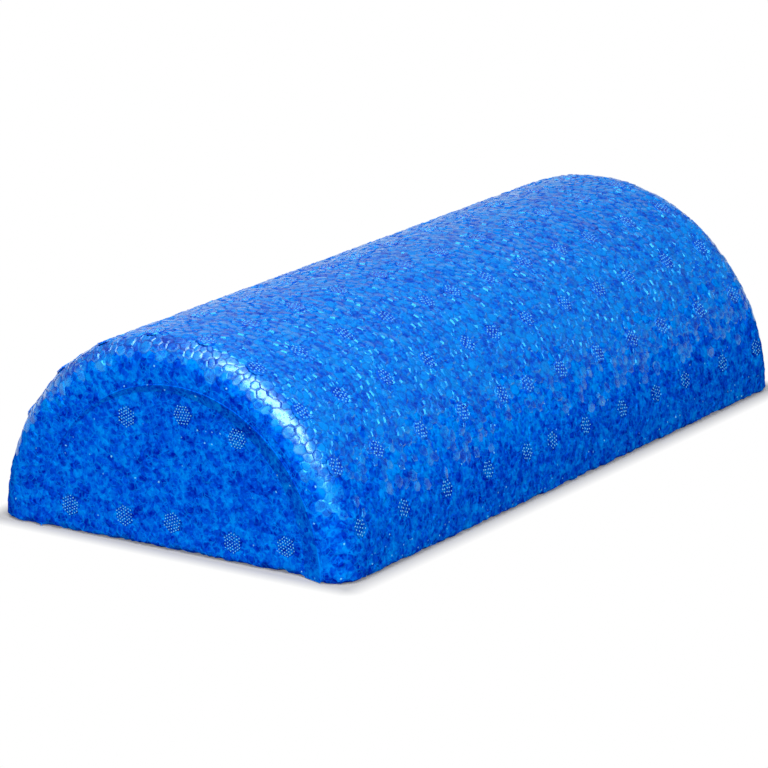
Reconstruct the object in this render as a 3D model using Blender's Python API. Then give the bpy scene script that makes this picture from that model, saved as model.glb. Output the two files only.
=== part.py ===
"""Half round foam roller: one steam-moulded block of bead foam.

Metres, +Z up. The origin is the middle of the flat base and the length runs along Y. The whole
roller is a single moulding, so it is one solid: a half-oval section run along Y, with its arched
end edges rounded, a shallow D-shaped panel left in each end face by the mould's insert, and a
shallow round mark wherever a steam vent of the mould touched the foam.
"""

import math

import bmesh
import bpy
from mathutils import Matrix, Vector

MM = 0.001

# Overall block
LENGTH = 304.8 * MM
WIDTH = 152.4 * MM
HEIGHT = 78.0 * MM
END_ROUNDING = 10.0 * MM
BASE_EDGE_ROUNDING = 1.5 * MM

# Insert panel, pressed into both end faces and open at the base. The insert sits a little askew
# in the mould, so the panel runs from shallow on one side to deep on the other, and its floor
# lies a little nearer the deep side. Its wall is a gentle slope.
PANEL_SHIFT = 2.5 * MM
PANEL_SIDE_MARGIN = 18.1 * MM
PANEL_TOP_MARGIN = 19.0 * MM
PANEL_SHALLOW_DEPTH = 0.15 * MM
PANEL_DEEP_DEPTH = 2.4 * MM
PANEL_DRAFT_ANGLE = math.radians(64)

# Steam vent marks
VENT_DIAMETER = 7.5 * MM
VENT_DEPTH = 0.3 * MM

# Overrun of every cutter past the surface that it cuts
OVERRUN = 3.0 * MM

# Vent places on the arch: rings as shares of half the length, rows as angles from the crown.
# Each row slides along the length by its own share, as the mould maker drilled it.
RING_SHARES = (-0.92, -0.74, -0.555, -0.375, -0.2, -0.085, 0.07, 0.245, 0.41, 0.555, 0.745, 0.92)
ROW_STEP = math.radians(16.9)
ROW_SLIDE_SHARES = (0.0, -0.025, -0.035, -0.025, -0.02)

# Vent places on the end faces: across as shares of half the width, up as shares of the height
END_VENT_SHARES = (
    (-0.56, 0.13),
    (-0.25, 0.13),
    (0.02, 0.14),
    (0.355, 0.1),
    (0.65, 0.13),
    (-0.23, 0.6),
    (0.085, 0.655),
    (0.385, 0.59),
)

# Fineness of the facets
ARCH_STEPS = 48
ROUNDING_STEPS = 6
BASE_EDGE_STEPS = 2
VENT_SIDES = 10

# Foam finish
FOAM_BLUE = (0.005, 0.12, 0.72, 1.0)
FOAM_ROUGHNESS = 0.42


def clear_scene():
    """Removes the startup objects."""
    for old in list(bpy.data.objects):
        bpy.data.objects.remove(old, do_unlink=True)


def foam_material():
    """The blue skin of the moulded foam."""
    material = bpy.data.materials.new("blue_bead_foam")
    material.use_nodes = True
    surface = material.node_tree.nodes["Principled BSDF"]
    surface.inputs["Base Color"].default_value = FOAM_BLUE
    surface.inputs["Roughness"].default_value = FOAM_ROUGHNESS
    surface.inputs["Metallic"].default_value = 0.0
    material.diffuse_color = FOAM_BLUE
    return material


def object_from(mesh_maker, name):
    """A new object in the scene from a bmesh, with its normals pointing out."""
    bmesh.ops.recalc_face_normals(mesh_maker, faces=mesh_maker.faces)
    mesh = bpy.data.meshes.new(name)
    mesh_maker.to_mesh(mesh)
    mesh_maker.free()
    made = bpy.data.objects.new(name, mesh)
    bpy.context.scene.collection.objects.link(made)
    return made


def arch_point(angle, inset):
    """(x, z) on the half-oval outline, drawn in by inset."""
    across = (WIDTH / 2 - inset) * math.cos(angle)
    up = (HEIGHT - inset) * math.sin(angle)
    return across, up


def arch_normal(angle):
    """The outward direction of the arch at this angle, square to the surface."""
    return Vector((HEIGHT * math.cos(angle), 0.0, WIDTH / 2 * math.sin(angle))).normalized()


def length_stations():
    """(y, inset) of each ring of points, from the -Y end face to the +Y one."""
    near = []
    for step in range(ROUNDING_STEPS + 1):
        turn = math.pi / 2 * step / ROUNDING_STEPS
        inset = END_ROUNDING * (1 - math.sin(turn))
        near.append((END_ROUNDING * (1 - math.cos(turn)) - LENGTH / 2, inset))
    far = [(-y, inset) for y, inset in reversed(near)]
    return near + far


def block_mesh():
    """The half-oval block with its end edges rounded, before its base edge is rounded."""
    shape = bmesh.new()
    rings = []
    for y, inset in length_stations():
        ring = []
        for step in range(ARCH_STEPS + 1):
            across, up = arch_point(math.pi * step / ARCH_STEPS, inset)
            # The two feet of the arch lie exactly on the base
            height = 0.0 if step in (0, ARCH_STEPS) else up
            ring.append(shape.verts.new((across, y, height)))
        rings.append(ring)
    for ring, following in zip(rings, rings[1:]):
        for step in range(ARCH_STEPS):
            shape.faces.new((ring[step], ring[step + 1], following[step + 1], following[step]))
        shape.faces.new((ring[0], following[0], following[-1], ring[-1]))
    shape.faces.new(rings[0])
    shape.faces.new(rings[-1])
    return shape


def round_base_edge(shape):
    """Rounds the edge that runs all the way round the flat base."""

    def on_base(edge):
        return all(abs(corner.co.z) < BASE_EDGE_ROUNDING * 0.01 for corner in edge.verts)

    def leaves_base(edge):
        return any(abs(face.normal.z) < 0.5 for face in edge.link_faces)

    bmesh.ops.recalc_face_normals(shape, faces=shape.faces)
    rim = [edge for edge in shape.edges if on_base(edge) and leaves_base(edge)]
    bmesh.ops.bevel(
        shape,
        geom=rim,
        offset=BASE_EDGE_ROUNDING,
        segments=BASE_EDGE_STEPS,
        profile=0.5,
        affect="EDGES",
        clamp_overlap=False,
    )


def panel_half_width():
    """Half the width of the panel's floor."""
    return WIDTH / 2 - PANEL_SIDE_MARGIN


def panel_slope():
    """How much deeper the panel's floor gets for each metre across."""
    return (PANEL_DEEP_DEPTH - PANEL_SHALLOW_DEPTH) / (2 * panel_half_width())


def panel_turn(side):
    """Turns +Z to point out of one end face, skewed as the insert sits there."""
    outward = Matrix.Rotation(-side * math.pi / 2, 4, "X")
    return Matrix.Rotation(-math.atan(panel_slope()), 4, "Z") @ outward


def panel_middle(side):
    """Where the middle of the panel's floor lies across one end face."""
    return -side * PANEL_SHIFT


def panel_depth(side, across):
    """How deep the panel's floor lies at this place across one end face."""
    middle = (PANEL_SHALLOW_DEPTH + PANEL_DEEP_DEPTH) / 2
    return middle - side * panel_slope() * (across - panel_middle(side))


def panel_cutter():
    """The two drafted oval discs that press the insert panels into the end faces."""
    shape = bmesh.new()
    flare = math.tan(PANEL_DRAFT_ANGLE)
    height = HEIGHT - PANEL_TOP_MARGIN
    oval = Matrix.Diagonal((1.0, 1.0, height / panel_half_width(), 1.0))
    for side in (-1, 1):
        depth = panel_depth(side, panel_middle(side))
        reach = depth + OVERRUN
        middle = Vector((panel_middle(side), side * (LENGTH / 2 - depth + reach / 2), 0.0))
        bmesh.ops.create_cone(
            shape,
            cap_ends=True,
            segments=2 * ARCH_STEPS,
            radius1=panel_half_width(),
            radius2=panel_half_width() + flare * reach,
            depth=reach,
            matrix=Matrix.Translation(middle) @ oval @ panel_turn(side),
        )
    return object_from(shape, "panel_cutter")


def arch_vents():
    """(place, outward direction) of each vent mark on the arch."""
    found = []
    for row, slide in enumerate(ROW_SLIDE_SHARES):
        for side in (-1, 1):
            from_crown = side * ROW_STEP * (len(ROW_SLIDE_SHARES) - row - 0.5)
            angle = math.pi / 2 - from_crown
            across, up = arch_point(angle, 0.0)
            for ring in RING_SHARES:
                # A mark's middle never slides onto the rounded end edge
                furthest = LENGTH / 2 - END_ROUNDING
                y = max(-furthest, min(furthest, (ring + slide) * LENGTH / 2))
                found.append((Vector((across, y, up)), arch_normal(angle)))
    return found


def end_vents():
    """(place, outward direction) of each vent mark on the two insert panels."""
    found = []
    for side in (-1, 1):
        outward = panel_turn(side) @ Vector((0.0, 0.0, 1.0))
        for across_share, up_share in END_VENT_SHARES:
            across = -side * across_share * WIDTH / 2
            y = side * (LENGTH / 2 - panel_depth(side, across))
            found.append((Vector((across, y, up_share * HEIGHT)), outward))
    return found


def vent_cutter():
    """Every vent mark's cutter: a short drum that stands on the mark's floor."""
    shape = bmesh.new()
    depth = VENT_DEPTH + OVERRUN
    for place, outward in arch_vents() + end_vents():
        turn = outward.to_track_quat("Z", "Y").to_matrix().to_4x4()
        middle = place + outward * (depth / 2 - VENT_DEPTH)
        bmesh.ops.create_cone(
            shape,
            cap_ends=True,
            segments=VENT_SIDES,
            radius1=VENT_DIAMETER / 2,
            radius2=VENT_DIAMETER / 2,
            depth=depth,
            matrix=Matrix.Translation(middle) @ turn,
        )
    return object_from(shape, "vent_cutter")


def cut(target, cutter):
    """Takes the cutter's shape out of the target and keeps the cutter as a hidden guide."""
    step = target.modifiers.new("cut by " + cutter.name, "BOOLEAN")
    step.operation = "DIFFERENCE"
    step.solver = "EXACT"
    step.object = cutter
    cutter.hide_render = True
    cutter.display_type = "WIRE"


def foam_body():
    """The roller itself."""
    shape = block_mesh()
    round_base_edge(shape)
    body = object_from(shape, "foam_body")
    body.data.materials.append(foam_material())
    body.data.shade_smooth()
    body.data.set_sharp_from_angle(angle=math.radians(35))
    cut(body, panel_cutter())
    cut(body, vent_cutter())
    return body


def main():
    clear_scene()
    foam_body()


main()
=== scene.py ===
"""Half round foam roller: the bead foam skin, the vent marks, the studio floor and the camera.

Metres, +Z up, the origin in the middle of the flat base and the length along Y. The skin is made
from bead centres scattered over the moulding's own surface: each bead becomes one small cell with
a groove round it, a slight dome, and a height and a lean of its own.
"""

import itertools
import math
import random

import bmesh
import bpy
import numpy as np
from bpy.props import FloatProperty, FloatVectorProperty, IntProperty, PointerProperty
from mathutils import Matrix, Vector
from mathutils.geometry import delaunay_2d_cdt


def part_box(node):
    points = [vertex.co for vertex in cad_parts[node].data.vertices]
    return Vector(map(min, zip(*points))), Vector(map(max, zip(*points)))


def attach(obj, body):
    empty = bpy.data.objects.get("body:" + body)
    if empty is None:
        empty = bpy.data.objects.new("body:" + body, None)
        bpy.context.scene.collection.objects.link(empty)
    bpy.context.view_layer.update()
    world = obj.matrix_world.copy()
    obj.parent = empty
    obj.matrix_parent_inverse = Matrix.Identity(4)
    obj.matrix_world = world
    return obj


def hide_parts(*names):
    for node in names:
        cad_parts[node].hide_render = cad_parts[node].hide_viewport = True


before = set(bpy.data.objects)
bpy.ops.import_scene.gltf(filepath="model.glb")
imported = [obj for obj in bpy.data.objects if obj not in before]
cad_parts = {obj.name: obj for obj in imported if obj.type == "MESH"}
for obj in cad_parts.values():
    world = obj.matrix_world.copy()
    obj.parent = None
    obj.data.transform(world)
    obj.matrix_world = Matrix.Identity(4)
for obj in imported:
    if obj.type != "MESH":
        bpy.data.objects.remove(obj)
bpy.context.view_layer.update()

bl_info = {
    "name": "Half Round Foam Roller",
    "version": (1, 0, 0),
    "blender": (4, 5, 0),
    "location": "3D View > Sidebar > Foam Roller",
    "description": "Builds a half round roller of moulded bead foam in a plain studio",
    "category": "Add Mesh",
}

MM = 0.001
BODY = "root"
CAD_NODE = "foam_body"
CAD_LOW, CAD_HIGH = (Vector(corner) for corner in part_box(CAD_NODE))

# Where the steam vents touched the foam: rings as shares of half the length, each row's slide
# along the length as another share, and the rows' step in angle from the crown
RING_SHARES = (-0.92, -0.74, -0.555, -0.375, -0.2, -0.085, 0.07, 0.245, 0.41, 0.555, 0.745, 0.92)
ROW_SLIDE_SHARES = (0.0, -0.025, -0.035, -0.025, -0.02)
ROW_STEP = math.radians(16.9)

# The same on the end faces, as shares of half the width and of the height
END_VENT_SHARES = (
    (-0.56, 0.13),
    (-0.25, 0.13),
    (0.02, 0.14),
    (0.355, 0.1),
    (0.65, 0.13),
    (-0.23, 0.6),
    (0.085, 0.655),
    (0.385, 0.59),
)

# The base's rows of vents, as shares of half the width
BASE_ROW_SHARES = (-0.69, -0.23, 0.23, 0.69)

# The numbers that tell the skin's regions apart
ARCH, NEAR_PANEL, FAR_PANEL, BASE = range(4)

# A bead is never glossy at or below the first share of gloss, and always above the second
LEAST_GLOSS, SURE_GLOSS = 0.01, 0.38

# How many beads stand just inside and just outside a vent mark's edge
INNER_BEADS = 9
OUTER_BEADS = 16

# Shares of the gap between beads: along the rims of a region, on the hidden base, and the least
# and the most that one bead keeps from the next. A bead is tried this often for each square gap.
RIM_GAP, BASE_GAP = 1.2, 1.5
LEAST_GAP, MOST_GAP = 0.9, 1.25
TRIES = 14

# How far round the end rounding the gloss starts to rise, and the share that it rises or falls in
POLISH_START, POLISH_FADE = 0.2, 0.25

# Fineness of the vent marks
DISC_SIDES = 20
PIP_SIDES = 6

# The radius of a pip's top and of its foot, as shares of the pitch
PIP_TOP, PIP_FOOT = 0.21, 0.3

# The sizes of the foam's patterns, as repeats in a metre, how far the flakes are warped and how
# deep the fine wrinkles are
BLOTCH_SCALE = 240.0
MOTTLE_SCALE = 900.0
WARP_SCALE = 500.0
FLAKE_SCALE = 430.0
FINE_FLAKE_SCALE = 850.0
PATCH_SCALE = 330.0
PAINTED_GLINT_SCALE = 300.0
WRINKLE_SCALE = 1600.0
WARP_REACH = 0.8 * MM
WRINKLE_DEPTH = 0.03 * MM

# Each softbox: the way to it, the way its long side runs, its distance and its sizes in metres
SOFTBOXES = (
    ("key", (0.36, -0.51, 0.78), (1.06, -0.25, -0.417), 1.5, (1.6, 0.85)),
    ("front", (-0.15, -0.95, 0.3), (1.0, 0.0, 0.0), 1.5, (1.0, 0.7)),
    ("side", (0.88, -0.43, 0.1), (0.0, 0.0, 1.0), 1.5, (0.7, 0.12)),
    ("fill", (-0.55, 0.8, 0.25), (0.8, 0.55, 0.0), 1.5, (1.6, 1.0)),
    ("top", (-0.1, 0.15, 1.0), (1.0, 0.0, 0.0), 1.6, (1.2, 1.2)),
)


def length_of(name, millimetres, description):
    """A length that a user can change"""
    default = millimetres * MM
    return FloatProperty(name=name, description=description, default=default, unit="LENGTH")


def angle_of(name, degrees, description):
    """An angle that a user can change"""
    default = math.radians(degrees)
    return FloatProperty(name=name, description=description, default=default, subtype="ANGLE")


def number_of(name, default, description):
    """A share, a slope or a power that a user can change"""
    return FloatProperty(name=name, description=description, default=default)


def colour_of(name, default, description):
    """A colour that a user can change"""
    return FloatVectorProperty(name=name, description=description, default=default, subtype="COLOR")


class RollerShape(bpy.types.PropertyGroup):
    """Sizes of the moulding"""

    length: length_of("Length", (CAD_HIGH.y - CAD_LOW.y) / MM, "Along the roller")
    width: length_of("Width", (CAD_HIGH.x - CAD_LOW.x) / MM, "Across the flat base")
    height: length_of("Height", (CAD_HIGH.z - CAD_LOW.z) / MM, "From the base to the crown")
    end_rounding: length_of("End rounding", 10.0, "Radius of the arched edge of each end")
    base_edge_rounding: length_of("Base edge rounding", 0.4, "Radius of the edge round the flat base")
    panel_shift: length_of("Panel shift", 2.5, "How far the panel's floor lies towards its deep side")
    panel_half_width: length_of("Panel half width", 58.1, "Half the width of the panel's floor")
    panel_height: length_of("Panel height", 59.0, "Height of the insert panel's floor")
    panel_shallow: length_of("Panel shallow depth", 0.15, "Depth of the panel on its shallow side")
    panel_deep: length_of("Panel deep depth", 2.4, "Depth of the panel on its deep side")
    panel_draft: angle_of("Panel draft", 64, "Slope of the insert panel's wall")
    panel_filling: length_of("Panel filling", 3.5, "How far foam fills the foot of the deep wall")
    wall_tone: number_of("Wall tone", 0.5, "Tone of the panel's wall where it is lowest, from 0 for deep")
    # The deeper wall is painted paler, painted light that offsets its shade
    wall_tone_rise: number_of("Wall tone rise", 0.15, "How much paler the wall is where it is highest")
    ridge_width: length_of("Ridge width", 0.3, "Half the width of the ridge round the panel")
    ridge_height: length_of("Ridge height", 0.28, "How far that ridge stands above the end face")


class BeadSkin(bpy.types.PropertyGroup):
    """Sizes of the beads in the skin"""

    gap: length_of("Bead gap", 2.75, "About the least distance between the centres of two beads")
    groove_share: number_of("Groove share", 0.28, "Share of half a bead that slopes into its groove")
    shoulder_share: number_of(
        "Shoulder share", 0.14, "Share of the rest that rounds over into the flat top"
    )
    groove_depth: length_of("Groove depth", 0.45, "Depth of the groove between two beads")
    shoulder_drop: length_of("Shoulder drop", 0.02, "How far a bead's rounded shoulder falls")
    height_spread: length_of("Height spread", 0.12, "How far a bead may stand out or lie deeper")
    lean: number_of("Lean", 0.16, "Steepest slope of a bead's top")
    dome: length_of("Dome", 0.01, "Height of a bead's middle above its rim")
    flatness: number_of("Flatness", 0.6, "How far a bead's top is flattened on a rounded edge, from 0 to 1")
    flat_share: number_of(
        "Flat relief share", 0.3, "Relief of the ends and the base, as a share of the arch's"
    )
    low_share: number_of("Low relief share", 0.5, "Relief of the lowest beads, as a share of the crown's")
    arch_gloss: number_of("Arch gloss", 0.4, "Gloss of the arch's beads, where the end roundings have 1")
    gloss_end: number_of("Gloss end", 1.0, "How far round the end rounding the gloss goes, from 0 to 1")
    gloss_start: length_of("Gloss start", 20.0, "Height above the base where the gloss begins")
    gloss_full: length_of("Gloss full", 50.0, "Height above the base where the gloss is full")
    seed: IntProperty(name="Seed", description="Start of the random draws", default=7)


class VentMarks(bpy.types.PropertyGroup):
    """Sizes of the marks that the mould's steam vents left"""

    diameter: length_of("Diameter", 7.6, "Across one vent mark")
    fine_pitch: length_of("Fine pitch", 1.18, "Between two pips of a fine mark")
    coarse_pitch: length_of("Coarse pitch", 1.5, "Between two pips of a coarse mark")
    flat_stray: number_of("Flat stray", 0.1, "How far a pip on a flat face strays, as a share of the pitch")
    arch_stray: number_of("Arch stray", 0.2, "The same for a pip on the arch")
    pip_height: length_of("Pip height", 0.24, "How far a pip stands above the mark's floor")
    thickness: length_of("Thickness", 0.6, "Thickness of a mark's disc")
    drop: length_of("Drop", 0.16, "From the foam's surface down to a mark's floor")
    sunk: length_of("Sunk", 0.4, "How far the beads give way under a mark")


class FoamColours(bpy.types.PropertyGroup):
    """Colours of the foam"""

    deep: colour_of("Deep", (0.0, 0.01, 0.33), "The darkest beads")
    middle: colour_of("Middle", (0.0, 0.066, 0.6), "Most beads")
    light: colour_of("Light", (0.0, 0.22, 0.78), "The palest beads")
    # The colour of the painted glints: the pale specks and the pip tips
    glint: colour_of("Glint", (0.25, 0.8, 1.0), "Small pale specks")
    gloss: colour_of("Gloss", (0.12, 0.85, 1.0), "Tint of the foam's gloss")


class StudioStage(bpy.types.PropertyGroup):
    """The camera and the light"""

    azimuth: angle_of("Azimuth", 33.365, "The camera's turn from in front of the near end")
    elevation: angle_of("Elevation", 15.846, "The camera's angle above the floor")
    distance: length_of("Distance", 1798.84, "From the camera to the point it looks at")
    aim: FloatVectorProperty(
        name="Aim",
        description="The point that the camera looks at",
        default=(-4.27 * MM, -6.66 * MM, 26.48 * MM),
        subtype="TRANSLATION",
    )
    lens: number_of("Lens", 224.2, "Focal length in millimetres")
    key_power: number_of("Key power", 30.0, "Power of the narrow softbox above and in front, in watts")
    front_power: number_of("Front power", 4.5, "Power of the softbox that faces the near end, in watts")
    top_power: number_of("Top power", 4.0, "Power of the wide softbox overhead, in watts")
    fill_power: number_of("Fill power", 2.5, "Power of the softbox behind the roller, in watts")
    side_power: number_of("Side power", 2.0, "Power of the upright softbox beside the camera, in watts")
    sky: number_of("Sky", 0.12, "Strength of the even light from all round")
    floor_size: length_of("Floor size", 4000.0, "From the middle of the floor to its sides")
    floor_colour: colour_of("Floor colour", (0.42, 0.42, 0.42), "The pale paper that the roller stands on")
    shadow_reach: length_of("Shadow reach", 7.5, "How far from the roller its shadow is still seen")


class Value:
    """One output in a node graph, on which the plain operators are Math nodes."""

    def __init__(self, graph, socket):
        self.graph = graph
        self.socket = socket

    def maths(self, operation, *others):
        inputs = dict(enumerate((self, *others)))
        return self.graph.out("ShaderNodeMath", inputs, operation=operation)

    def __add__(self, other):
        return self.maths("ADD", other)

    def __sub__(self, other):
        return self.maths("SUBTRACT", other)

    def __rsub__(self, other):
        return self.graph.out("ShaderNodeMath", {0: other, 1: self}, operation="SUBTRACT")

    def __mul__(self, other):
        return self.maths("MULTIPLY", other)

    def __neg__(self):
        return self.maths("MULTIPLY", -1.0)

    def __gt__(self, other):
        return self.maths("GREATER_THAN", other)

    def line(self, slope, start):
        """The value times slope, plus start"""
        return self.maths("MULTIPLY_ADD", slope, start)

    def mapped(self, low, high, to_low=0.0, to_high=1.0):
        """The value moved from one range to the other, and kept inside it"""
        ends = {"From Min": low, "From Max": high, "To Min": to_low, "To Max": to_high}
        return self.graph.out("ShaderNodeMapRange", {"Value": self, **ends})


class Graph:
    """A node tree being built, with short ways to add its nodes."""

    def __init__(self, tree):
        self.tree = tree

    def given(self, label, kind="Float"):
        """What this node group is given under a label, through a new socket of this kind"""
        self.tree.interface.new_socket(label, in_out="INPUT", socket_type="NodeSocket" + kind)
        return Value(self, self.tree.nodes.new("NodeGroupInput").outputs[label])

    def hands_on(self, results):
        """Gives each result an output socket of this node group."""
        for label, value in results.items():
            kind = value.socket.bl_idname
            self.tree.interface.new_socket(label, in_out="OUTPUT", socket_type=kind)
        self.add("NodeGroupOutput", results)

    def add(self, kind, inputs=None, **settings):
        """One node, with its settings and inputs."""
        made = self.tree.nodes.new(kind)
        for name, value in settings.items():
            setattr(made, name, value)
        self.fill(made, inputs or {})
        return made

    def fill(self, node, inputs):
        """Gives each of these inputs of a node its number, or the Value that it reads."""
        for key, value in inputs.items():
            if isinstance(value, Value):
                self.tree.links.new(value.socket, node.inputs[key])
            else:
                node.inputs[key].default_value = value

    def outs(self, keys, kind, inputs=None, **settings):
        """Some outputs of a new node"""
        made = self.add(kind, inputs, **settings)
        return [Value(self, made.outputs[key]) for key in keys]

    def out(self, kind, inputs=None, key=0, **settings):
        """One output of a new node"""
        return self.outs([key], kind, inputs, **settings)[0]

    def vectors(self, operation, first, second=(0.0, 0.0, 0.0)):
        """The result of a Vector Math node"""
        key = "Value" if operation in ("DOT_PRODUCT", "LENGTH") else "Vector"
        inputs = {0: first, "Scale" if operation == "SCALE" else 1: second}
        return self.out("ShaderNodeVectorMath", inputs, key, operation=operation)

    def named(self, name, data_type="FLOAT"):
        """Reads a named attribute of the mesh."""
        return self.out("GeometryNodeInputNamedAttribute", {"Name": name}, data_type=data_type)

    def on(self, kind, geometry, inputs, selection=True, **settings):
        """The geometry after a node that works on its selected elements."""
        inputs = {"Geometry": geometry, "Selection": selection, **inputs}
        return self.out("GeometryNode" + kind, inputs, **settings)

    def stored(self, geometry, name, value, domain="FACE", kind="FLOAT", selection=True):
        """The geometry with a named attribute written on it."""
        inputs = {"Name": name, "Value": value}
        node = "StoreNamedAttribute"
        return self.on(node, geometry, inputs, selection, domain=domain, data_type=kind)

    def moved(self, geometry, offset, selection=True):
        """The geometry with its selected points shifted."""
        return self.on("SetPosition", geometry, {"Offset": offset}, selection)

    def painted(self, geometry, label, selection=True):
        """The geometry with the material given under a label on its selected faces."""
        inputs = {"Material": self.given(label, "Material")}
        return self.on("SetMaterial", geometry, inputs, selection)

    def chance(self, low, high, seed):
        """A random number or, between two triples, a random vector, for each element."""
        first, kind = (0, "FLOAT_VECTOR") if isinstance(low, tuple) else (2, "FLOAT")
        inputs = {first: low, first + 1: high, "Seed": seed}
        return self.out("FunctionNodeRandomValue", inputs, first // 2, data_type=kind)

    def mixed(self, factor, first, second):
        """The result of a colour Mix node"""
        return self.out("ShaderNodeMix", {0: factor, 6: first, 7: second}, 2, data_type="RGBA")


def oval_point(shape, angle, inset):
    """(x, z) on the half-oval outline, drawn in by inset."""
    across = (shape.width / 2 - inset) * math.cos(angle)
    up = (shape.height - inset) * math.sin(angle)
    return across, max(up, 0.0)


def panel_depth(shape, side, across):
    """How deep the insert panel's floor lies at this place across one end face."""
    slope = (shape.panel_deep - shape.panel_shallow) / (2 * shape.panel_half_width)
    middle = (shape.panel_shallow + shape.panel_deep) / 2
    return middle - side * slope * (across + side * shape.panel_shift)


def panel_point(shape, side, angle, sunk=False):
    """A point of the insert panel's outline: on its lip, or sunk on the foot of its sloped wall."""
    across = shape.panel_half_width * math.cos(angle)
    up = shape.panel_height * math.sin(angle)
    depth = panel_depth(shape, side, across - side * shape.panel_shift)
    # The foot's corner is filled with foam, the more the deeper it is
    filled = shape.panel_filling * (depth / shape.panel_deep) ** 2 / shape.panel_half_width
    flare = math.tan(shape.panel_draft) * depth / shape.panel_half_width
    grown = 1 - filled if sunk else 1 + flare
    across = across * grown - side * shape.panel_shift
    below = panel_depth(shape, side, across) if sunk else 0.0
    return Vector((across, side * (shape.length / 2 - below), max(up * grown, 0.0)))


def base_edge(shape, place, outward):
    """The point moved in and up, onto the middle of the rounding round the base."""
    ease = shape.base_edge_rounding * (1 - math.sqrt(0.5))
    return place - outward * ease + Vector((0.0, 0.0, ease))


class ArchChart:
    """Unrolls the arch, the end roundings and the flat rims to one rectangle: s round, v along."""

    STEPS = 720

    def __init__(self, shape):
        self.shape = shape
        self.angles = np.linspace(0.0, math.pi, self.STEPS + 1)
        x = shape.width / 2 * np.cos(self.angles)
        z = shape.height * np.sin(self.angles)
        pieces = np.hypot(np.diff(x), np.diff(z))
        self.rounds = np.concatenate([[0.0], np.cumsum(pieces)])
        self.span = float(self.rounds[-1])
        self.straight = shape.length / 2 - shape.end_rounding
        self.curved = self.straight + shape.end_rounding * math.pi / 2
        lip = panel_point(shape, -1, math.pi / 2)
        self.reach = self.curved + shape.height - shape.end_rounding - lip.z

    def angle(self, s):
        return float(np.interp(s, self.rounds, self.angles))

    def round(self, angle):
        return float(np.interp(angle, self.angles, self.rounds))

    def place(self, s, v):
        """The point of the surface at s and v."""
        shape, angle, along = self.shape, self.angle(s), abs(v)
        side = math.copysign(1.0, v)
        if along <= self.straight:
            x, z = oval_point(shape, angle, 0.0)
            return Vector((x, v, z))
        turn = min((along - self.straight) / shape.end_rounding, math.pi / 2)
        x, z = oval_point(shape, angle, shape.end_rounding * (1 - math.cos(turn)))
        edge = Vector((x, side * (self.straight + shape.end_rounding * math.sin(turn)), z))
        if along <= self.curved:
            return edge
        share = min((along - self.curved) / (self.reach - self.curved), 1.0)
        return edge.lerp(panel_point(shape, side, angle), share)


def vent_points(middles, radius, half_gap):
    """Bead centres just inside and just outside each vent mark, so that its edge comes out round."""
    found = []
    for x, y in middles:
        found.append((x, y))
        for reach, count in ((radius - half_gap, INNER_BEADS), (radius + half_gap, OUTER_BEADS)):
            for step in range(count):
                turn = 2 * math.pi * step / count
                found.append((x + reach * math.cos(turn), y + reach * math.sin(turn)))
    return found


def even_steps(low, high, gap):
    """Values from low to high, about gap apart."""
    return np.linspace(low, high, max(2, round(abs(high - low) / gap) + 1))


def scatter(low, high, taken, gap, inside, chance):
    """Random flat points at least about gap apart, and as far from those already taken."""
    cells = {}

    def cell_of(point):
        return int(point[0] // gap), int(point[1] // gap)

    def clear(point, least):
        near = itertools.product(*(range(n - 2, n + 3) for n in cell_of(point)))
        others = itertools.chain.from_iterable(cells.get(cell, ()) for cell in near)
        return all(math.dist(point, other) >= least for other in others)

    for point in taken:
        cells.setdefault(cell_of(point), []).append(point)
    found = []
    area = (high[0] - low[0]) * (high[1] - low[1])
    for _ in range(int(TRIES * area / gap**2)):
        point = (chance.uniform(low[0], high[0]), chance.uniform(low[1], high[1]))
        if inside(point) and clear(point, gap * chance.uniform(LEAST_GAP, MOST_GAP)):
            cells.setdefault(cell_of(point), []).append(point)
            found.append(point)
    return found


class BeadNet:
    """A closed net of triangles with a bead's centre at each corner, built region by region."""

    def __init__(self):
        self.points = []
        self.regions = []
        self.faces = []

    def point(self, place, region):
        self.points.append(place)
        self.regions.append(region)
        return len(self.points) - 1

    def fill(self, rim, flat_rim, inner, place, region, outward):
        """Joins a rim of known points and the new inner ones into triangles."""
        names = rim + [self.point(place(*flat), region) for flat in inner]
        flat = [Vector((a / MM, b / MM)) for a, b in list(flat_rim) + inner]
        loop = [(i, (i + 1) % len(rim)) for i in range(len(rim))]
        _, _, triangles, origins, _, _ = delaunay_2d_cdt(flat, loop, [], 1, 1e-6)
        for triangle in triangles:
            face = [names[origins[corner][0]] for corner in triangle]
            a, b, c = (self.points[name] for name in face)
            if (b - a).cross(c - a).dot(outward((a + b + c) / 3)) < 0:
                face.reverse()
            self.faces.append(face)


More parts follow.
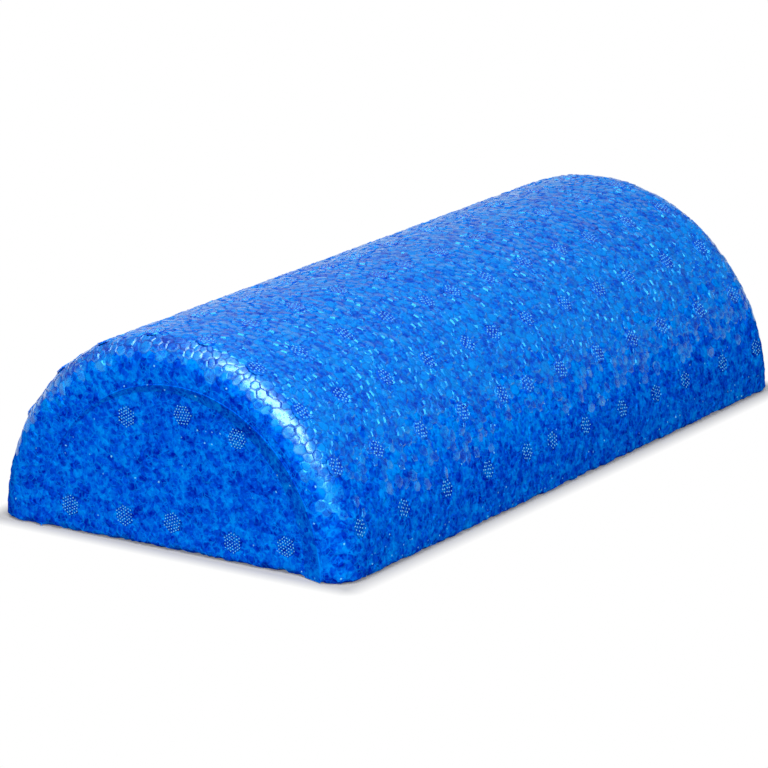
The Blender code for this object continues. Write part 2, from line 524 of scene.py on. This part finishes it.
def bead_net(shape, gap, vent_radius, chance):
    """The net of bead centres over the whole moulding, open only along the panels' lips."""

    def round_vents(middles):
        return vent_points(middles, vent_radius, gap * 0.5)

    net = BeadNet()
    chart = ArchChart(shape)
    side_gap = gap * RIM_GAP
    along = even_steps(-chart.reach, chart.reach, side_gap)
    lip_span = math.pi * panel_point(shape, -1, math.pi / 2).z
    rounds = even_steps(0.0, chart.span, side_gap * chart.span / lip_span)
    angles = [chart.angle(s) for s in rounds]

    # The rim of the arch's rectangle, once round it
    across = Vector((1.0, 0.0, 0.0))
    right = [net.point(base_edge(shape, chart.place(0.0, v), across), ARCH) for v in along]
    far_lip = [net.point(panel_point(shape, 1, angle), ARCH) for angle in angles[1:-1]]
    left = [net.point(base_edge(shape, chart.place(chart.span, v), -across), ARCH) for v in along]
    near_lip = [net.point(panel_point(shape, -1, angle), ARCH) for angle in angles[1:-1]]
    flat = [(0.0, v) for v in along] + [(s, chart.reach) for s in rounds[1:-1]]
    flat += [(chart.span, v) for v in along[::-1]]
    flat += [(s, -chart.reach) for s in rounds[1:-1][::-1]]
    rim = right + far_lip + left[::-1] + near_lip[::-1]
    marks = round_vents((chart.round(angle), y) for angle, y in arch_vent_rows(shape))
    low, high = (0.0, -chart.reach), (chart.span, chart.reach)
    inner = marks + scatter(low, high, flat + marks, gap, lambda point: True, chance)
    ahead = Vector((0.0, 1.0, 0.0))

    def out_of_arch(place):
        return place - ahead * max(-chart.straight, min(chart.straight, place.y))

    net.fill(rim, flat, inner, chart.place, ARCH, out_of_arch)

    # The two panel floors, each with its foot along the base
    feet = {}
    for side, region in ((-1, NEAR_PANEL), (1, FAR_PANEL)):
        out = ahead * side
        curve = [panel_point(shape, side, angle, sunk=True) for angle in angles]
        start, end = curve[0], curve[-1]
        shares = even_steps(0.0, 1.0, side_gap / (start - end).length)[1:-1]
        foot = [base_edge(shape, end.lerp(start, float(share)), out) for share in shares]
        curve[0] = base_edge(shape, start, out)
        curve[-1] = base_edge(shape, end, out)
        rim = [net.point(place, region) for place in curve + foot]
        feet[side] = rim[len(curve) :]
        flat = [(place.x, place.z) for place in curve + foot]
        half_width = shape.panel_half_width
        top = shape.panel_height
        shift = -side * shape.panel_shift

        def in_panel(point):
            return ((point[0] - shift) / half_width) ** 2 + (point[1] / top) ** 2 < 0.99

        def on_floor(x, z):
            return Vector((x, side * (shape.length / 2 - panel_depth(shape, side, x)), z))

        marks = round_vents(end_vent_spots(shape, side))
        low, high = (shift - half_width, 0.0), (shift + half_width, top)
        inner = marks + scatter(low, high, flat + marks, gap, in_panel, chance)
        net.fill(rim, flat, inner, on_floor, region, lambda place: out)
        feet[side] = [rim[0], *feet[side][::-1], rim[len(curve) - 1]]

    # The flat base, inside the feet of everything above
    rim = [*right, *feet[1], *left[::-1], *feet[-1][::-1]]
    flat = [(net.points[name].x, net.points[name].y) for name in rim]
    corner = shape.end_rounding

    def in_base(point):
        x = abs(point[0]) - (shape.width / 2 - corner)
        y = abs(point[1]) - (shape.length / 2 - corner)
        if abs(point[1]) > shape.length / 2 - shape.panel_deep - gap / 2:
            return False
        return max(x, y) < corner and (min(x, y) < 0 or math.hypot(x, y) < corner)

    marks = round_vents(base_vent_spots(shape))
    high = (shape.width / 2, shape.length / 2)
    low = (-high[0], -high[1])
    inner = marks + scatter(low, high, flat + marks, gap * BASE_GAP, in_base, chance)
    down = Vector((0.0, 0.0, -1.0))
    net.fill(rim, flat, inner, lambda x, y: Vector((x, y, 0.0)), BASE, lambda place: down)
    return net


def arch_vent_rows(shape):
    """(angle, y) of each vent mark on the arch, the rows nearest the floor first."""
    furthest = shape.length / 2 - shape.end_rounding
    for row, slide in enumerate(ROW_SLIDE_SHARES):
        for side in (-1, 1):
            angle = math.pi / 2 - side * ROW_STEP * (len(ROW_SLIDE_SHARES) - row - 0.5)
            for ring in RING_SHARES:
                y = (ring + slide) * shape.length / 2
                yield angle, max(-furthest, min(furthest, y))


def end_vent_spots(shape, side):
    """(x, z) of each vent mark on one insert panel."""
    return [(-side * across * shape.width / 2, up * shape.height) for across, up in END_VENT_SHARES]


def base_vent_spots(shape):
    """(x, y) of each vent mark on the flat base."""
    return [
        (row * shape.width / 2, ring * shape.length / 2)
        for row in BASE_ROW_SHARES
        for ring in RING_SHARES
    ]


def all_vents(shape, proud):
    """(place, outward direction, kind) of each mark: flat, arch or, low on the arch, low.

    The marks in the base lie deeper by proud, so that the roller stands flat.
    """
    for angle, y in arch_vent_rows(shape):
        x, z = oval_point(shape, angle, 0.0)
        out = Vector((shape.height * math.cos(angle), 0.0, shape.width / 2 * math.sin(angle)))
        kind = "low" if z < shape.height / 3 else "arch"
        yield Vector((x, y, z)), out.normalized(), kind
    for side in (-1, 1):
        out = Vector((0.0, side, 0.0))
        for x, z in end_vent_spots(shape, side):
            y = side * (shape.length / 2 - panel_depth(shape, side, x))
            yield Vector((x, y, z)), out, "flat"
    for x, y in base_vent_spots(shape):
        yield Vector((x, y, proud)), Vector((0.0, 0.0, -1.0)), "flat"


def bead_tree():
    """Turns a net of bead centres into the beads themselves."""
    graph = Graph(bpy.data.node_groups.new("Bead skin", "GeometryNodeTree"))
    net = {"Mesh": graph.given("Geometry", "Geometry"), "Keep Boundaries": True}
    cells = graph.out("GeometryNodeDualMesh", net)
    place = graph.out("GeometryNodeInputPosition")
    normal = graph.out("GeometryNodeInputNormal")
    relief = graph.named("relief")
    under_vent = graph.named("under_vent")
    gloss = graph.named("bead_gloss")
    seed = graph.given("Seed", "Int")

    cells = graph.stored(cells, "bead_centre", place, kind="FLOAT_VECTOR")
    cells = graph.stored(cells, "bead_out", normal, kind="FLOAT_VECTOR")
    cells = graph.stored(cells, "bead_tone", graph.chance(0.0, 1.0, seed))
    limit = graph.chance(LEAST_GLOSS, SURE_GLOSS, seed + 3.0)
    cells = graph.stored(cells, "glossy", gloss > limit)
    lift = graph.chance(-1.0, 1.0, seed + 1.0) * graph.given("Height Spread") * relief
    lift = lift * (1.0 - under_vent) - graph.given("Vent Sink") * under_vent
    cells = graph.stored(cells, "bead_lift", lift)
    # The glossy beads of the end rounding lean least
    most_lean = graph.given("Lean") * relief * gloss.line(-1.0, 1.4)
    lean = graph.vectors("SCALE", graph.chance((-1.0,) * 3, (1.0,) * 3, seed + 2.0), most_lean)
    cells = graph.stored(cells, "bead_lean", lean, kind="FLOAT_VECTOR")
    groove = graph.given("Groove Depth") * relief
    cells = graph.moved(cells, graph.vectors("SCALE", normal, -groove))

    centre, out, lean = (
        graph.named(name, "FLOAT_VECTOR") for name in ("bead_centre", "bead_out", "bead_lean")
    )
    from_centre = graph.vectors("SUBTRACT", place, centre)
    slope = graph.vectors("DOT_PRODUCT", lean, from_centre)
    drop = graph.given("Shoulder Drop") * relief
    # The steps up are taken towards the bead's own plane, which flattens it on a rounded edge
    bent_down = graph.vectors("DOT_PRODUCT", from_centre, out) * graph.given("Flatness")
    first_rise = graph.named("bead_lift") + slope - drop - bent_down
    second_rise = graph.given("Dome") * relief + drop
    selection = True
    for label, rise in (("Groove Share", first_rise), ("Shoulder Share", second_rise)):
        inputs = {"Mesh": cells, "Selection": selection, "Offset Scale": 0.0, "Individual": True}
        raised = graph.outs(("Mesh", "Top"), "GeometryNodeExtrudeMesh", inputs, mode="FACES")
        cells, selection = raised
        size = {"Scale": 1.0 - graph.given(label)}
        cells = graph.on("ScaleElements", cells, size, selection, domain="FACE")
        cells = graph.moved(cells, graph.vectors("SCALE", out, rise), selection)
        if rise is first_rise:
            cells = graph.stored(cells, "bead_top", 1.0, "POINT", selection=selection)
    for kept in ("bead_tone", "bead_gloss"):
        cells = graph.stored(cells, kept, graph.named(kept), "POINT")
    cells = graph.on("SetShadeSmooth", cells, {"Shade Smooth": True})
    whole = graph.out("GeometryNodeRealizeInstances", {"Geometry": cells})
    whole = graph.painted(whole, "Matt Material")
    whole = graph.painted(whole, "Glossy Material", graph.named("glossy"))
    graph.hands_on({"Geometry": whole})
    return graph.tree


def vent_tree():
    """Sets one vent mark, a low disc with pips in a honeycomb, on each point."""
    graph = Graph(bpy.data.node_groups.new("Vent marks", "GeometryNodeTree"))
    points = graph.given("Geometry", "Geometry")
    diameter, thickness, drop, pitch = (
        graph.given(label) for label in ("Diameter", "Thickness", "Drop", "Pitch")
    )
    radius = diameter * 0.5
    rings, seed = (graph.given(label, "Int") for label in ("Rings", "Seed"))

    def cone(sides, top, bottom, depth, rise):
        inputs = {"Vertices": sides, "Radius Top": top, "Radius Bottom": bottom, "Depth": depth}
        shift = graph.out("ShaderNodeCombineXYZ", {2: rise})
        inputs = {"Geometry": graph.out("GeometryNodeMeshCone", inputs), "Translation": shift}
        return graph.out("GeometryNodeTransform", inputs)

    # The disc, whose top edge is chamfered
    disc = cone(DISC_SIDES, radius - thickness * 0.6, radius, thickness, -(thickness + drop))
    disc = graph.stored(disc, "bead_tone", 0.5, "POINT")

    # A square grid leant over into a honeycomb, then cut to a round
    steps = rings * 4.0
    span, count = steps * pitch, steps + 1.0
    inputs = {"Size X": span, "Size Y": span, "Vertices X": count, "Vertices Y": count}
    grid = graph.out("GeometryNodeMeshGrid", inputs)
    place = graph.out("GeometryNodeInputPosition")
    across, along = (graph.out("ShaderNodeSeparateXYZ", {0: place}, axis) for axis in (0, 1))
    leant = {0: along.line(0.5, across), 1: along * math.sqrt(0.75)}
    grid = graph.on("SetPosition", grid, {"Position": graph.out("ShaderNodeCombineXYZ", leant)})
    outside = graph.vectors("LENGTH", place) > (rings + 0.1) * pitch
    grid = graph.on("DeleteGeometry", grid, {}, outside, domain="POINT")
    shift = graph.chance((-1.0, -1.0, -0.6), (1.0, 1.0, 0.0), seed)
    grid = graph.moved(grid, graph.vectors("SCALE", shift, pitch * graph.given("Stray")))
    grid = graph.stored(grid, "bead_tone", graph.chance(0.0, 1.0, seed + 1.0), "POINT")
    pip = cone(PIP_SIDES, pitch * PIP_TOP, pitch * PIP_FOOT, graph.given("Pip Height"), -drop)
    normal = graph.out("GeometryNodeInputNormal")
    # The pips' top faces take their own finish, paler towards the glint: a painted highlight on the tips
    pip = graph.stored(pip, "pip", graph.out("ShaderNodeSeparateXYZ", {0: normal}, 2) > 0.7)
    pips = graph.out("GeometryNodeInstanceOnPoints", {"Points": grid, "Instance": pip})
    mark = graph.add("GeometryNodeJoinGeometry")
    for half in (disc, pips):
        graph.tree.links.new(half.socket, mark.inputs[0])

    # Each mark faces outwards, with a turn of its own
    outward = {"Vector": graph.named("outward", "FLOAT_VECTOR")}
    upright = graph.out("FunctionNodeAlignRotationToVector", outward, axis="Z")
    turn = {"Axis": (0.0, 0.0, 1.0), "Angle": graph.chance(0.0, 2 * math.pi, seed)}
    spin = graph.out("FunctionNodeAxisAngleToRotation", turn)
    both = {"Rotation": upright, "Rotate By": spin}
    turned = graph.out("FunctionNodeRotateRotation", both, rotation_space="LOCAL")
    mark = Value(graph, mark.outputs[0])
    inputs = {"Points": points, "Instance": mark, "Rotation": turned}
    placed = graph.out("GeometryNodeInstanceOnPoints", inputs)
    whole = graph.out("GeometryNodeRealizeInstances", {"Geometry": placed})
    whole = graph.stored(whole, "bead_top", 1.0, "POINT")
    whole = graph.painted(whole, "Floor Material")
    whole = graph.painted(whole, "Pip Material", graph.named("pip"))
    graph.hands_on({"Geometry": whole})
    return graph.tree


def settings_of(group):
    """A property group's values, each under the name that the node trees have for it."""
    labels = type(group).__annotations__
    return {label.replace("_", " ").title(): getattr(group, label) for label in labels}


def placed(name, data):
    """A new object in the scene."""
    made = bpy.data.objects.new(name, data)
    bpy.context.scene.collection.objects.link(made)
    return made


def grown(source, tree, values, name):
    """A plain mesh object: the source as the node tree makes it, with these named inputs."""
    step = source.modifiers.new(tree.name, "NODES")
    step.node_group = tree
    for item in tree.interface.items_tree:
        if item.in_out == "INPUT" and item.name in values:
            step[item.identifier] = values[item.name]
    bpy.context.view_layer.update()
    graph = bpy.context.evaluated_depsgraph_get()
    mesh = bpy.data.meshes.new_from_object(source.evaluated_get(graph))
    mesh.name = name
    bpy.data.objects.remove(source, do_unlink=True)
    return placed(name, mesh)


def points_object(name, places, faces, **traits):
    """An object with these points and faces, and each trait's numbers or vectors on its points."""
    mesh = bpy.data.meshes.new(name)
    mesh.from_pydata(places, [], faces)
    for label, values in traits.items():
        values = np.array(values, dtype=np.float32)
        kind, key = ("FLOAT", "value") if values.ndim == 1 else ("FLOAT_VECTOR", "vector")
        mesh.attributes.new(label, kind, "POINT").data.foreach_set(key, values.ravel())
    return placed(name, mesh)


def close_walls(mesh, shape):
    """Joins each panel's lip to its floor with the sloped wall, and turns every face outwards."""
    maker = bmesh.new()
    maker.from_mesh(mesh)
    open_points = [corner for corner in maker.verts if corner.is_boundary]
    in_panel = maker.faces.layers.float["in_panel"]
    tone = maker.verts.layers.float["bead_tone"]
    top = maker.verts.layers.float["bead_top"]

    def bordering(rim, values):
        return [c for c in rim if {face[in_panel] for face in c.link_faces} == values]

    for side in (-1, 1):
        rim = [corner for corner in open_points if corner.co.y * side > 0]
        rim.sort(key=lambda corner: math.atan2(corner.co.z, corner.co.x))
        lip = bordering(rim, {0.0})
        foot = bordering(rim, {1.0})
        # On the base, one more point stands half way between the lip and the foot at each end
        first, last = bordering(rim, {0.0, 1.0})
        crest = [lip[0]]
        for edge, low in zip(lip[1:-1], foot[1:-1], strict=True):
            inward = low.co - edge.co
            width = min(shape.ridge_width, inward.length * 0.4)
            spot = edge.co + inward.normalized() * width
            spot.y = edge.co.y + side * shape.ridge_height
            crest.append(maker.verts.new(spot, edge))
        crest.append(lip[-1])
        # The wall's tone rises with the panel's depth, painted light that offsets the shade on its deep
        # side
        for corner in crest + foot:
            depth = panel_depth(shape, side, corner.co.x) / shape.panel_deep
            corner[tone] = shape.wall_tone + depth * shape.wall_tone_rise
            corner[top] = 1.0
        for step in range(len(lip) - 1):
            ridge = [lip[step], lip[step + 1], crest[step + 1], crest[step]]
            wall = [crest[step], crest[step + 1], foot[step + 1], foot[step]]
            if step == 0:
                ridge.pop()
                wall.append(first)
            if step == len(lip) - 2:
                ridge.pop(2)
                wall.insert(2, last)
            maker.faces.new(ridge).smooth = True
            maker.faces.new(wall).smooth = True
    bmesh.ops.triangulate(maker, faces=maker.faces, quad_method="BEAUTY", ngon_method="BEAUTY")
    bmesh.ops.recalc_face_normals(maker, faces=maker.faces)
    for corner in maker.verts:
        corner.co.z = max(corner.co.z, 0.0)
    maker.to_mesh(mesh)
    maker.free()
    mesh.set_sharp_from_angle(angle=math.radians(20))


def foam_group():
    """The foam's colour, with painted sheen, groove shade and glints, its roughness, coat and fine relief,
    from each bead's own tone.
    """
    graph = Graph(bpy.data.node_groups.new("Bead foam finish", "ShaderNodeTree"))
    place = graph.out("ShaderNodeTexCoord", key="Object")
    gloss = graph.given("Gloss")
    deep, middle, light, glint = (
        graph.given(label, "Color") for label in ("Deep", "Middle", "Light", "Glint")
    )

    def noise(scale, detail, roughness=0.5, key=0):
        inputs = {"Vector": place, "Scale": scale, "Detail": detail, "Roughness": roughness}
        return graph.out("ShaderNodeTexNoise", inputs, key)

    def share(colour):
        return graph.out("ShaderNodeSeparateColor", {0: colour})

    # Soft blotches a bead or two across, mottling inside each bead, and sharp flakes of two sizes
    mottle = noise(MOTTLE_SCALE, 3.0, 0.6)
    tone = graph.given("Tone").line(0.4, -0.2) + noise(BLOTCH_SCALE, 2.0).line(0.4, 0.29)
    # Glossy beads are painted paler, a painted sheen standing in for the cyan gloss where the light falls
    # on the upper arch and the end roundings
    tone = tone + mottle.line(0.8, -0.4) + gloss.maths("MINIMUM", 0.4) * 0.8
    warp = graph.vectors("SCALE", noise(WARP_SCALE, 1.0, key="Color"), WARP_REACH)
    bent = graph.vectors("ADD", place, warp)
    for scale in (FLAKE_SCALE, FINE_FLAKE_SCALE):
        flakes = graph.out("ShaderNodeTexVoronoi", {"Vector": bent, "Scale": scale}, "Color")
        tone = tone + share(flakes).line(0.45, -0.225)
    colour = graph.mixed(tone * 2.0, deep, middle)
    colour = graph.mixed(tone.line(2.0, -1.0), colour, light)

    # The seams between glossy beads are darkened, painted shade in the grooves
    seam = 1.0 - graph.given("Top")
    painted_groove_shade = seam * gloss
    colour = graph.mixed(painted_groove_shade, colour, deep)

    # The cell walls inside the foam show through here and there as fine pale threads, and the seams of the
    # other beads are made pale too, a painted highlight on the bead edges
    inputs = {"Vector": bent, "Scale": FLAKE_SCALE}
    walls = graph.out("ShaderNodeTexVoronoi", inputs, "Distance", feature="DISTANCE_TO_EDGE")
    pale = walls.mapped(0.0, 0.07, 1.0, 0.0).maths("MAXIMUM", (seam - painted_groove_shade) * 0.5)
    pale = pale * noise(PATCH_SCALE, 1.0).mapped(0.4, 0.6) * 0.8
    colour = graph.mixed(pale, colour, light)

    # Painted glints: pale specks, one in some of the cells
    inputs = {"Vector": bent, "Scale": PAINTED_GLINT_SCALE}
    away, pick = graph.outs(("Distance", "Color"), "ShaderNodeTexVoronoi", inputs)
    painted_glint = away.mapped(0.04, 0.13, 1.0, 0.0) * (share(pick) > 0.72) * 0.7
    results = {
        "Color": graph.mixed(painted_glint, colour, glint),
        "Roughness": mottle.line(0.2, 0.18),
        "Coat": gloss.mapped(0.4, 0.9) * mottle.mapped(0.3, 0.5),
        "Height": noise(WRINKLE_SCALE, 3.0, 0.6) + mottle * 1.5,
    }
    graph.hands_on(results)
    return graph.tree


def foam_finish(colours, name, brightness=1.0, pale=0.0, glossy=False):
    """A finish of this name: the foam's shades times brightness, moved towards the glint by pale: the vent
    marks use both for painted shade and painted highlights.
    """
    if name in bpy.data.materials:
        return bpy.data.materials[name]
    material = bpy.data.materials.new(name)
    material.use_nodes = True
    graph = Graph(material.node_tree)
    glint = Vector(colours.glint)
    inputs = {"Glint": (*glint, 1.0)}
    for label in ("Deep", "Middle", "Light"):
        shade = Vector(getattr(colours, label.lower())) * brightness
        inputs[label] = (*shade.lerp(glint, pale), 1.0)
    for label in ("Tone", "Top", "Gloss"):
        trait = "bead_" + label.lower()
        inputs[label] = graph.out("ShaderNodeAttribute", key="Fac", attribute_name=trait)
    finish = bpy.data.node_groups.get("Bead foam finish") or foam_group()
    labels = ("Color", "Roughness", "Coat", "Height")
    group = graph.outs(labels, "ShaderNodeGroup", inputs, node_tree=finish)
    colour, roughness, coat, height = group
    bump = {"Strength": 1.0, "Distance": WRINKLE_DEPTH, "Height": height}
    surface = {
        "Base Color": colour,
        "Roughness": roughness,
        "Metallic": 0.0,
        "Specular Tint": (*colours.gloss, 1.0),
        "IOR": 1.6 if glossy else 1.5,
        "Specular IOR Level": 1.0 if glossy else 0.0,
        "Coat Weight": coat,
        "Coat Roughness": 0.28,
        "Coat IOR": 1.8,
        "Normal": graph.out("ShaderNodeBump", bump),
    }
    graph.fill(graph.tree.nodes["Principled BSDF"], surface)
    return material


def bead_finish(shape, skin, centre, region):
    """(relief, gloss) of the bead with this centre, each from 0 to 1: both fade low on the arch."""
    if region != ARCH or abs(centre[1]) > shape.length / 2 - shape.panel_shallow / 2:
        return skin.flat_share, 0.0
    share = (centre[2] - skin.gloss_start) / (skin.gloss_full - skin.gloss_start)
    share = min(max(share, 0.0), 1.0)
    relief = skin.low_share + (1.0 - skin.low_share) * share
    # How far round the end rounding the bead sits, from 0 on the arch to 1 on the end face
    turn = (abs(centre[1]) - shape.length / 2) / shape.end_rounding + 1.0
    polish = min(max((turn - POLISH_START) / POLISH_FADE, 0.0), 1.0)
    share *= min(max((skin.gloss_end - turn) / POLISH_FADE, 0.0), 1.0)
    return relief, share * (skin.arch_gloss + (1.0 - skin.arch_gloss) * polish)


def declare(piece):
    """Attaches a piece to the body that it rides on."""
    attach(piece, BODY)


class FOAM_ROLLER_OT_bead_skin(bpy.types.Operator):
    """Make the roller's body out of fused foam beads"""

    bl_idname = "foam_roller.bead_skin"
    bl_label = "Bead Skin"

    def execute(self, context):
        shape = context.scene.roller_shape
        skin = context.scene.bead_skin
        vents = context.scene.vent_marks
        colours = context.scene.foam_colours
        radius = vents.diameter / 2
        net = bead_net(shape, skin.gap, radius, random.Random(skin.seed))
        marks = np.array([place for place, _, _ in all_vents(shape, 0.0)])
        centres = np.array(net.points)
        under = [float(np.linalg.norm(marks - centre, axis=1).min() < radius) for centre in centres]
        finish = [bead_finish(shape, skin, *bead) for bead in zip(centres, net.regions)]
        relief, gloss = zip(*finish)
        inside = [float(region in (NEAR_PANEL, FAR_PANEL)) for region in net.regions]
        traits = {"relief": relief, "under_vent": under, "in_panel": inside, "bead_gloss": gloss}
        source = points_object("bead centres", net.points, net.faces, **traits)
        values = {
            **settings_of(skin),
            "Vent Sink": vents.sunk,
            "Matt Material": foam_finish(colours, "matt_bead_foam"),
            "Glossy Material": foam_finish(colours, "glossy_bead_foam", glossy=True),
        }
        body = grown(source, bead_tree(), values, "foam_roller_skin")
        close_walls(body.data, shape)
        spare = ("relief", "under_vent", "in_panel", "glossy")
        for label in (*spare, "bead_centre", "bead_out", "bead_lift", "bead_lean"):
            body.data.attributes.remove(body.data.attributes[label])
        declare(body)
        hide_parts(CAD_NODE)
        return {"FINISHED"}


class FOAM_ROLLER_OT_vent_marks(bpy.types.Operator):
    """Press the pattern of each steam vent into the foam"""

    bl_idname = "foam_roller.vent_marks"
    bl_label = "Vent Marks"

    def execute(self, context):
        shape = context.scene.roller_shape
        vents = context.scene.vent_marks
        colours = context.scene.foam_colours
        tree = vent_tree()
        # The marks' floors are painted: darker on the flat faces and low on the arch, painted shade in
        # their sunken floors, and paler on the arch, painted light that offsets that shade
        matt = foam_finish(colours, "matt_vent_foam", brightness=0.85)
        glossy = foam_finish(colours, "glossy_vent_foam", brightness=1.1, glossy=True)
        kinds = (
            ("flat", vents.fine_pitch, 3, vents.flat_stray, matt),
            ("arch", vents.coarse_pitch, 2, vents.arch_stray, glossy),
            ("low", vents.coarse_pitch, 2, vents.arch_stray, matt),
        )
        proud = vents.pip_height - vents.drop
        for kind, pitch, rings, stray, floor in kinds:
            name = kind + "_vent_marks"
            chosen = [mark for mark in all_vents(shape, proud) if mark[2] == kind]
            places, outward, _ = zip(*chosen)
            source = points_object(name, places, [], outward=outward)
            values = {
                **settings_of(vents),
                "Pitch": pitch,
                "Rings": rings,
                "Stray": stray,
                "Seed": context.scene.bead_skin.seed,
                "Floor Material": floor,
                # The pip tips are moved towards the glint colour, a painted highlight
                "Pip Material": foam_finish(colours, "vent_pip_foam", pale=0.6),
            }
            marks = grown(source, tree, values, name)
            marks.data.set_sharp_from_angle(angle=math.radians(30))
            declare(marks)
        return {"FINISHED"}


def softbox(stage, name, way, long_way, distance, sizes):
    """An area lamp that faces the camera's aim, its long side along long_way."""
    lamp = bpy.data.lights.new(name + "_softbox", "AREA")
    lamp.shape = "RECTANGLE"
    lamp.size, lamp.size_y = sizes
    lamp.energy = getattr(stage, name + "_power")
    away = Vector(way).normalized()
    up = away.cross(Vector(long_way)).normalized()
    turn = Matrix((up.cross(away), up, away)).transposed()
    place = Matrix.Translation(Vector(stage.aim) + away * distance)
    placed(lamp.name, lamp).matrix_world = place @ turn.to_4x4()


def seen_directly(graph):
    """1 for a ray that shows the background: from the camera, a gloss or a clear surface."""
    rays = ("Is Camera Ray", "Is Glossy Ray", "Is Transmission Ray")
    camera, gloss, clear = graph.outs(rays, "ShaderNodeLightPath")
    return camera.maths("MAXIMUM", gloss).maths("MAXIMUM", clear)


def studio_floor(stage):
    """A wide pale floor, white to the eye but for the shadow close round the roller."""
    size = stage.floor_size
    corners = [(-size, -size, 0.0), (size, -size, 0.0), (size, size, 0.0), (-size, size, 0.0)]
    floor = points_object("studio_floor", corners, [(0, 1, 2, 3)])
    material = bpy.data.materials.new("studio_paper")
    material.use_nodes = True
    nodes = material.node_tree.nodes
    nodes.remove(nodes["Principled BSDF"])
    graph = Graph(material.node_tree)
    paper = graph.out("ShaderNodeBsdfDiffuse", {"Color": (*stage.floor_colour, 1.0)})
    white = graph.out("ShaderNodeEmission", {"Strength": 1.0})

    # The distance from the roller's footprint
    place = graph.vectors("ABSOLUTE", graph.out("ShaderNodeTexCoord", key="Object"))
    outside = graph.vectors("SUBTRACT", place, (*CAD_HIGH.xy, 0.0))
    outside = graph.vectors("LENGTH", graph.vectors("MAXIMUM", outside))
    clear = outside.mapped(-stage.shadow_reach / 5, stage.shadow_reach)
    share = seen_directly(graph) * clear
    both = graph.out("ShaderNodeMixShader", {0: share, 1: paper, 2: white})
    graph.fill(nodes["Material Output"], {"Surface": both})
    floor.data.materials.append(material)


def studio_world(stage):
    """An even dim surround, white where it is seen near the horizon."""
    world = bpy.data.worlds.new("studio_world")
    world.use_nodes = True
    graph = Graph(world.node_tree)
    way = graph.out("ShaderNodeTexCoord", key="Generated")
    height = graph.out("ShaderNodeSeparateXYZ", {0: way}, 2)
    lit = seen_directly(graph) * height.mapped(0.05, 0.08, 1.0, 0.0)
    light = {"Color": (1.0, 1.0, 1.0, 1.0), "Strength": lit.line(1.0 - stage.sky, stage.sky)}
    graph.fill(graph.tree.nodes["Background"], light)
    bpy.context.scene.world = world


class FOAM_ROLLER_OT_studio_stage(bpy.types.Operator):
    """Set up the floor, the lamps and the camera"""

    bl_idname = "foam_roller.studio_stage"
    bl_label = "Studio Stage"

    def execute(self, context):
        stage = context.scene.studio_stage
        studio_floor(stage)
        studio_world(stage)
        for box in SOFTBOXES:
            softbox(stage, *box)

        level = math.cos(stage.elevation)
        x, y = math.sin(stage.azimuth) * level, -math.cos(stage.azimuth) * level
        away = Vector((x, y, math.sin(stage.elevation)))
        view = bpy.data.cameras.new("photo_camera")
        view.lens = stage.lens
        camera = placed("photo_camera", view)
        camera.location = Vector(stage.aim) + away * stage.distance
        camera.rotation_euler = away.to_track_quat("Z", "Y").to_euler()
        context.scene.camera = camera
        context.scene.view_settings.view_transform = "Standard"
        return {"FINISHED"}


class FOAM_ROLLER_PT_panel(bpy.types.Panel):
    """The roller's sizes, colours and steps"""

    bl_idname = "FOAM_ROLLER_PT_panel"
    bl_label = "Foam Roller"
    bl_space_type = "VIEW_3D"
    bl_region_type = "UI"
    bl_category = "Foam Roller"

    def draw(self, context):
        for key, group in SETTINGS.items():
            box = self.layout.box()
            for label in group.__annotations__:
                box.prop(getattr(context.scene, key), label)
        for step in STEPS:
            self.layout.operator(step.bl_idname)


SETTINGS = {
    "roller_shape": RollerShape,
    "bead_skin": BeadSkin,
    "vent_marks": VentMarks,
    "foam_colours": FoamColours,
    "studio_stage": StudioStage,
}
STEPS = (FOAM_ROLLER_OT_bead_skin, FOAM_ROLLER_OT_vent_marks, FOAM_ROLLER_OT_studio_stage)
CLASSES = (*SETTINGS.values(), *STEPS, FOAM_ROLLER_PT_panel)


def register():
    for item in CLASSES:
        bpy.utils.register_class(item)
    for key, group in SETTINGS.items():
        setattr(bpy.types.Scene, key, PointerProperty(type=group))


def unregister():
    for key in SETTINGS:
        delattr(bpy.types.Scene, key)
    for item in CLASSES:
        bpy.utils.unregister_class(item)


def main():
    register()
    bpy.ops.foam_roller.bead_skin()
    bpy.ops.foam_roller.vent_marks()
    bpy.ops.foam_roller.studio_stage()


if __name__ == "__main__":
    main()
